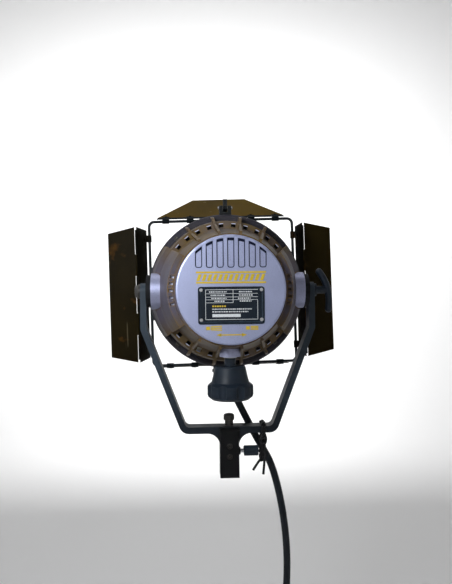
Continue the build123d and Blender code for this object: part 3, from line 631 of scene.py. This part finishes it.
FLUTE_PITCH, FLUTE_HALF, FLUTE_LOW, FLUTE_CORNER, FLUTE_REACH = 14.1, 4.7, 29.0, 3.2, 68.6
FLUTE_DEPTH, GROOVE_PROUD = 1.5 * MM, 0.35 * MM
GROOVE_INSETS = (0.05, 1.25)
LIP_HALF, LIP_RADII = 4.3, (69.1, 71.6)
LIP_FRONT, LIP_DEPTH = 1.0 * MM, 1.7 * MM
POCKET_FRONT, POCKET_DEPTH = 0.30 * MM, 0.2 * MM
POCKET_LOW, POCKET_HIGH = 4.2 * MM, 0.5 * MM


def flute_outline(centre, inset):
    """Outline of one flute: rounded at the bottom and cut by the panel's rim at the top."""
    half, low, reach = FLUTE_HALF - inset, FLUTE_LOW + inset, FLUTE_REACH - inset
    corner = FLUTE_CORNER - inset
    points = []
    for side, first in ((-1, 180), (1, 270)):
        for step in range(5):
            angle = math.radians(first + 22.5 * step)
            points.append((centre + side * (half - corner) + corner * math.cos(angle),
                           low + corner + corner * math.sin(angle)))
    for step in range(7):
        x = centre + half - 2 * half * step / 6
        points.append((x, math.sqrt(reach ** 2 - x ** 2)))
    return outline(points)


def make_flute_details():
    """Grooves round the flutes, darkened by painted shadow and dirt, and a raised bright lip over a pocket at
    the top of each one, dark with painted shadow.
    """
    points, faces, lips, pocket_shadows = [], [], [], []
    floor = DISC_FACE + FLUTE_DEPTH
    for step in range(-3, 4):
        centre = FLUTE_PITCH * step
        outer, inner = (flute_outline(centre, inset) for inset in GROOVE_INSETS)
        first, count = len(points), len(outer)
        points += [(x, floor - GROOVE_PROUD, AXIS_Z + z) for x, z in outer + inner]
        for index in range(count):
            after = (index + 1) % count
            faces.append([first + index, first + after, first + count + after, first + count + index])
        low, high = [], []
        for part in range(5):
            x = centre - LIP_HALF + 2 * LIP_HALF * part / 4
            for points_so_far, radius in zip((low, high), LIP_RADII):
                points_so_far.append((x * MM, math.sqrt(radius ** 2 - x ** 2) * MM))
        lips.append(low + high[::-1])
        under = [(x, z - POCKET_LOW) for x, z in low]
        pocket_shadows.append(under + [(x, z - POCKET_HIGH) for x, z in low[::-1]])
    add_mesh("flute_pocket_shadows", *prisms(pocket_shadows, floor - POCKET_FRONT, POCKET_DEPTH), GROOVE.material, "head",
             "hammered_silver")
    add_mesh("flute_grooves", points, faces, GROOVE.material, "head", "hammered_silver")
    add_mesh("flute_lips", *prisms(lips, DISC_FACE + LIP_FRONT, LIP_DEPTH),
             FINISHES["hammered_silver"].material, "head", "hammered_silver")


LAMP_WIDTH, RAY_START, RAY_HALF, RAY_STEP = 5.2, 6.4, 0.75, 1.9
SIGN_LOW, SIGN_HIGH = -53.4, -46.8
# Each beam sign: centre, half width and how far its outer rays spread.
BEAM_SIGNS = ((-23.0, 10.4, 2.7), (27.0, 8.2, 1.9))


def beam_sign(centre, half_width, spread):
    """A lamp block with three rays that leave it at a wide or narrow spread."""
    middle, left, right = (SIGN_LOW + SIGN_HIGH) / 2, centre - half_width, centre + half_width
    outlines = [bar(left, left + LAMP_WIDTH, SIGN_LOW + 1.0, SIGN_HIGH - 1.0)]
    for row in (-1, 0, 1):
        start, end = middle + RAY_STEP * row, middle + spread * row
        outlines.append(outline([(left + RAY_START, start - RAY_HALF), (right, end - RAY_HALF),
                                 (right, end + RAY_HALF), (left + RAY_START, start + RAY_HALF)]))
    return outlines


BAND_EDGES = ((-46, 46, 21.8, 24.2), (-46, 46, 8.4, 10.8))
STRIPES, STRIPE_START, STRIPE_PITCH, STRIPE_WIDTH, STRIPE_SLANT = 13, -45.6, 6.95, 4.3, 3.0
STRIPE_LOW, STRIPE_HIGH = 12.0, 20.6
ARROW_SHAFT = (-15, 15, -59.8, -58.2)
ARROW_TIP, ARROW_BACK, ARROW_Z, ARROW_HALF = 20.2, 13.4, -59.0, 2.4
MARK_PROUD, MARK_DEPTH = 0.02 * MM, 0.32 * MM


def make_gold_marks():
    """A plain striped band above the plate, wide and narrow beam signs and the focus arrow."""
    outlines = [bar(*edge) for edge in BAND_EDGES]
    for step in range(STRIPES):
        left = STRIPE_START + step * STRIPE_PITCH
        outlines.append(bar(left, left + STRIPE_WIDTH, STRIPE_LOW, STRIPE_HIGH, STRIPE_SLANT))
    for sign in BEAM_SIGNS:
        outlines += beam_sign(*sign)
    outlines.append(bar(*ARROW_SHAFT))
    for side in (-1, 1):
        head = [(side * ARROW_TIP, ARROW_Z), (side * ARROW_BACK, ARROW_Z + ARROW_HALF),
                (side * ARROW_BACK, ARROW_Z - ARROW_HALF)]
        outlines.append(outline(head if side > 0 else head[::-1]))
    add_mesh("gold_marks", *prisms(outlines, DISC_FACE + MARK_PROUD, MARK_DEPTH), GOLD.material, "head",
             "brass")


# Angles run clockwise from the top as seen from behind, as the slots do.
SLOT_PITCH, SLOT_HALF = 10.7, 3.3
TOP_SLOTS = [side * SLOT_PITCH * (step + 0.5) for step in range(5) for side in (-1, 1)]
LOW_SLOTS = [180 + side * SLOT_PITCH * (step + 0.5) for step in range(1, 5) for side in (-1, 1)]
VENTS = [270 + 6.6 * step for step in range(-2, 3)]
# Radii and stations of the walls with the pale painted highlight, and of the vents' floors with their half
# width.
WALL_RADII, WALL_STATIONS = (98.3, 99.5), (-6.0, -5.2)
VENT_HALF, VENT_RADII, VENT_STATIONS = 1.6, (77.4, 82.2), (-80.2, -79.2)


def ring_blocks(angles, half_width, radii, stations):
    """Small blocks set round the beam axis, between two radii and two stations."""
    points, faces = [], []
    for angle in angles:
        turn = math.radians(angle)
        first = len(points)
        for y in stations:
            for reach in radii:
                for x in (-half_width, half_width):
                    points.append((MM * (x * math.cos(turn) + reach * math.sin(turn)), MM * y,
                                   AXIS_Z + MM * (reach * math.cos(turn) - x * math.sin(turn))))
        faces += [[first + corner for corner in face] for face in BLOCK_FACES]
    return points, faces


def make_slot_walls():
    """Outer walls of the slots in the shoulder, and floors of the left cheek's vents, made pale as a painted
    highlight of the key light.
    """
    walls = ring_blocks(TOP_SLOTS + LOW_SLOTS, SLOT_HALF, WALL_RADII, WALL_STATIONS)
    floors = ring_blocks(VENTS, VENT_HALF, VENT_RADII, VENT_STATIONS)
    add_mesh("slot_walls_painted_highlight", *merged([walls, floors]), PAINTED_HIGHLIGHT_WALL.material, "head", "cap_paint")


PLATE_CORNER, PLATE_CORNER_CUT, CORNER_STEPS = 3.6 * MM, 2.8 * MM, 6
RIM_DEPTH, RIM_BEVEL, RIM_IN, RIM_OUT = 0.35 * MM, 0.6 * MM, 2.6 * MM, 3.2 * MM
PRINT_PROUD, PRINT_DEPTH, DASH_HEIGHT = 0.02 * MM, 0.14 * MM, 1.5
DASH_LENGTHS, DASH_GAPS = (0.9, 2.6), (0.5, 1.1)
DASH_SEED = 7
PLATE_RULES = ((-34, -33.4, -39, 0.5), (34.2, 34.8, -39, -14), (-34, 34.8, -39, -38.4),
               (-34, 34.8, -0.1, 0.5), (2.0, 2.6, -16.6, -0.1), (-34, 34.8, -5.2, -4.7),
               (-34, 34.8, -9.6, -9.1), (-34, 34.8, -13.2, -12.7), (-34, 2.6, -17.1, -16.6),
               (-25, 12, -35.6, -31.6))
# Rows of dashes: height, left end, right end.
DASH_ROWS = ((-3.4, -29, -6), (-3.4, 10, 27), (-7.8, -27, -8), (-7.8, 10, 28), (-11.9, -26, -6),
             (-11.9, 9, 25), (-15.6, -22, -9), (-15.6, 11, 27), (-26.0, -25, 27), (-29.4, -25, 22))
WARM_DASHES, WARM_LEFT, WARM_PITCH, WARM_LENGTH = 6, -25, 3.1, 2.2
WARM_LOW, WARM_HIGH = -22.4, -20.4


def make_plate_sheet():
    """The rounded sheet with its bevelled rim and sunk face."""
    centre = ((PLATE_LOW.x + PLATE_HIGH.x) / 2, (PLATE_LOW.z + PLATE_HIGH.z) / 2)
    half = ((PLATE_HIGH.x - PLATE_LOW.x) / 2, (PLATE_HIGH.z - PLATE_LOW.z) / 2)
    rows = [(0.0, PLATE_HIGH.y), (0.0, PLATE_LOW.y + RIM_DEPTH), (RIM_BEVEL, PLATE_LOW.y),
            (RIM_IN, PLATE_LOW.y), (RIM_OUT, PLATE_LOW.y + RIM_DEPTH)]
    points, faces = [], []
    for inset, y in rows:
        corner = PLATE_CORNER - min(inset, PLATE_CORNER_CUT)
        for quarter, (sx, sz) in enumerate(((1, 1), (-1, 1), (-1, -1), (1, -1))):
            for step in range(CORNER_STEPS):
                angle = math.radians(90 * quarter + 90 * step / (CORNER_STEPS - 1))
                points.append((centre[0] + sx * (half[0] - inset - corner) + corner * math.cos(angle), y,
                               centre[1] + sz * (half[1] - inset - corner) + corner * math.sin(angle)))
    ring = 4 * CORNER_STEPS
    for row in range(len(rows) - 1):
        here, there = row * ring, (row + 1) * ring
        for step in range(ring):
            after = (step + 1) % ring
            faces.append([here + step, there + step, there + after, here + after])
    faces.append([(len(rows) - 1) * ring + step for step in range(ring)])
    faces.append(list(range(ring - 1, -1, -1)))
    plate = add_mesh("printed_plate", points, faces, FINISHES["plate_black"].material, "head", "plate_black")
    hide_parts("data_plate")


def make_plate_print():
    """Ruled boxes and rows of plain dashes, which stand for print and can't be read."""
    face = PLATE_LOW.y + RIM_DEPTH + PRINT_PROUD
    rules = [bar(*rule) for rule in PLATE_RULES]
    spread = random.Random(DASH_SEED)
    for height, place, right in DASH_ROWS:
        while place < right:
            length = spread.uniform(*DASH_LENGTHS)
            rules.append(bar(place, min(place + length, right), height, height + DASH_HEIGHT))
            place += length + spread.uniform(*DASH_GAPS)
    add_mesh("plate_print", *prisms(rules, face, PRINT_DEPTH), WHITE.material, "head", "plate_black")
    lefts = [WARM_LEFT + WARM_PITCH * step for step in range(WARM_DASHES)]
    warm = [bar(left, left + WARM_LENGTH, WARM_LOW, WARM_HIGH) for left in lefts]
    add_mesh("plate_print_gold", *prisms(warm, face, PRINT_DEPTH), GOLD.material, "head", "plate_black")


# ---------------------------------------------------------------- side leaf hinges

ROD_HALF, LEAF_ROLL, LEAF_OPEN = 126.5 * MM, -1.3, 22.0
HINGE_OUT, HINGE_LIFT, HINGE_TUBE_R = 68.0 * MM, 4.9 * MM, 2.1 * MM
HINGE_ENDS = (112.0 * MM, 121.0 * MM)
WEB_REACH, WEB_HALF = 3.4 * MM, 0.45 * MM


def make_hinge_ends():
    """Closes the outer ends of each side leaf's hinge with a rolled end and its web of sheet."""
    for body, quarter in (("right_leaf", 90), ("left_leaf", 270)):
        placed = (Matrix.Translation((0, 0, AXIS_Z))
                  @ Matrix.Rotation(math.radians(LEAF_ROLL + quarter), 4, "Y")
                  @ Matrix.Translation((0, ROD_Y, ROD_HALF))
                  @ Matrix.Rotation(math.radians(LEAF_OPEN), 4, "X"))
        parts = []
        for side in (-1, 1):
            start, end = (side * reach for reach in HINGE_ENDS)
            path = [Vector((start + (end - start) * step / 4, HINGE_OUT, HINGE_LIFT)) for step in range(5)]
            parts.append(round_tube(path, HINGE_TUBE_R))
            corners = [Vector((x, y, z)) for x in sorted((start, end))
                       for y in (HINGE_OUT - WEB_REACH, HINGE_OUT)
                       for z in (HINGE_LIFT - WEB_HALF, HINGE_LIFT + WEB_HALF)]
            parts.append((corners, BLOCK_FACES))
        points, faces = merged(parts)
        add_mesh(body + "_hinge_ends", [placed @ point for point in points], faces, SIDE_FINISH.material,
                 body, "leaf_black")


# ---------------------------------------------------------------- studio

FLOOR_DROP, FLOOR_RADII = 0.02, (0.001, 1.2, 2.0)
SWEEP_RADIUS, SWEEP_STEPS, BACKDROP_SIDES = 0.9, 10, 96
WALL_RADIUS, WALL_TOP = 2.9, 3.4


def make_backdrop():
    """Pale floor that curves up into a wall all round."""
    floor = CAD_BOX[0].z - FLOOR_DROP
    profile = [(radius, 0) for radius in FLOOR_RADII]
    for step in range(1, SWEEP_STEPS + 1):
        turn = math.pi / 2 * step / SWEEP_STEPS
        profile.append((FLOOR_RADII[-1] + SWEEP_RADIUS * math.sin(turn),
                        SWEEP_RADIUS - SWEEP_RADIUS * math.cos(turn)))
    profile.append((WALL_RADIUS, WALL_TOP))
    points, faces = [], []
    for radius, height in profile:
        for step in range(BACKDROP_SIDES):
            angle = 2 * math.pi * step / BACKDROP_SIDES
            points.append((radius * math.cos(angle), radius * math.sin(angle), floor + height))
    for row in range(len(profile) - 1):
        here, there = row * BACKDROP_SIDES, (row + 1) * BACKDROP_SIDES
        for step in range(BACKDROP_SIDES):
            after = (step + 1) % BACKDROP_SIDES
            faces.append([here + step, here + after, there + after, there + step])
    made = Finish("backdrop", (0.88, 0.88, 0.88), 0.9, Emission_Color=(1, 1, 1, 1), Emission_Strength=0.03)
    mesh = bpy.data.meshes.new("backdrop")
    mesh.from_pydata(points, [], faces)
    mesh.materials.append(made.material)
    for polygon in mesh.polygons:
        polygon.use_smooth = True
    backdrop = bpy.data.objects.new("backdrop", mesh)
    bpy.context.scene.collection.objects.link(backdrop)


AIM = (0, 0, AXIS_Z)
# Each light: name, place, target, size across, power, colour.
LIGHTS = (("key", (-0.36, -0.52, 0.50), AIM, 0.26, 3.3, (0.93, 0.96, 1.0)),
          ("fill", (1.3, -1.1, 0.35), AIM, 1.2, 0.3, (1, 1, 1)),
          ("top", (-0.1, 0.3, 1.6), AIM, 1.1, 5, (1, 1, 1)),
          ("wall", (0, 1.5, 1.1), (0, 2.9, 0.7), 1.6, 40, (1, 1, 1)))
SKY_COLOR, SKY_STRENGTH = (0.96, 0.97, 1.0, 1), 0.04


def make_light(name, place, target, size, power, color):
    data = bpy.data.lights.new(name, "AREA")
    data.shape = "DISK"
    data.size = size
    data.energy = power
    data.color = color
    lamp = bpy.data.objects.new(name, data)
    lamp.location = place
    lamp.rotation_euler = (Vector(target) - Vector(place)).to_track_quat("-Z", "Y").to_euler()
    lamp.visible_camera = False
    bpy.context.scene.collection.objects.link(lamp)


def make_studio():
    make_backdrop()
    for light in LIGHTS:
        make_light(*light)
    world = bpy.data.worlds.new("studio")
    world.use_nodes = True
    background = world.node_tree.nodes["Background"]
    background.inputs["Color"].default_value = SKY_COLOR
    background.inputs["Strength"].default_value = SKY_STRENGTH
    bpy.context.scene.world = world
    bpy.context.scene.view_settings.view_transform = "Standard"


make_camera()
make_cable()
make_coil_bands()
make_tie()
finish_cad_nodes()
make_flute_details()
make_gold_marks()
make_slot_walls()
make_plate_sheet()
make_plate_print()
make_hinge_ends()
make_studio()
